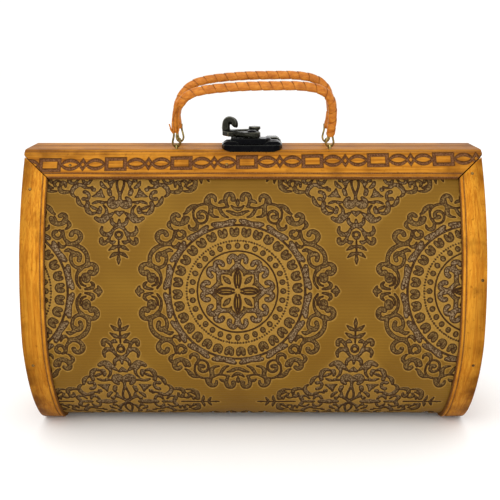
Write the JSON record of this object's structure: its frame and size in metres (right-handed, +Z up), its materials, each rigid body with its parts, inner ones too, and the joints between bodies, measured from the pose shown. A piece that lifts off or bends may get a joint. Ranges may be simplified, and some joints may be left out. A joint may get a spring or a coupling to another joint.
{
  "type": "wooden box bag",
  "caption": "Handbag with a wooden frame and curved embossed panels that opens on base hinges, with a hook clasp and two wrapped loop handles.",
  "frame": {"origin": "on the ground plane under the middle of the bag, where the two halves meet", "axes": "+X along the bag towards its right end as the carved front is seen, +Y from the carved front to the back, +Z up"},
  "size_m": [0.32, 0.126, 0.259],
  "materials": {
    "carved_rail_wood": "satin",
    "strip_wood": "satin",
    "embossed_leather": "satin",
    "wrapped_handle": "satin",
    "brass_wire": "polished",
    "hinge_brass": "satin",
    "black_cast": "satin"
  },
  "bodies": {
    "front_half": {"front_top_rail": "carved_rail_wood", "front_panel": "embossed_leather", "front_end_left": "strip_wood", "front_end_right": "strip_wood", "front_staple_left": "brass_wire", "front_staple_right": "brass_wire", "front_hinge_leaf_left": "hinge_brass", "front_hinge_leaf_right": "hinge_brass", "hinge_pin_left": "hinge_brass", "hinge_pin_right": "hinge_brass", "clasp_front_plate": "black_cast", "clasp_rivet": "black_cast"},
    "back_half": {"back_top_rail": "carved_rail_wood", "back_panel": "embossed_leather", "back_end_left": "strip_wood", "back_end_right": "strip_wood", "back_staple_left": "brass_wire", "back_staple_right": "brass_wire", "back_hinge_leaf_left": "hinge_brass", "back_hinge_leaf_right": "hinge_brass", "clasp_back_plate": "black_cast"},
    "front_grip_loop": {"front_handle": "wrapped_handle", "front_handle_ring_left": "brass_wire", "front_handle_ring_right": "brass_wire"},
    "back_grip_loop": {"back_handle": "wrapped_handle", "back_handle_ring_left": "brass_wire", "back_handle_ring_right": "brass_wire"},
    "hook": {"clasp_hook": "black_cast"}
  },
  "joints": [
    {"name": "base_hinge", "type": "hinge", "parent": "front_half", "child": "back_half", "pos_m": [0, 0, 0.0022], "axis": [-1, 0, 0], "range_deg": [0, 90]},
    {"name": "front_handle_swing", "type": "hinge", "parent": "front_half", "child": "front_grip_loop", "pos_m": [0, -0.0146, 0.20735], "axis": [1, 0, 0], "range_deg": [-37, 65]},
    {"name": "back_handle_swing", "type": "hinge", "parent": "back_half", "child": "back_grip_loop", "pos_m": [0, 0.0146, 0.20735], "axis": [-1, 0, 0], "range_deg": [-12, 90]},
    {"name": "hook_turn", "type": "hinge", "parent": "front_half", "child": "hook", "pos_m": [-0.0008, -0.009, 0.2135], "axis": [0, 0, 1], "range_deg": [0, 70]}
  ]
}
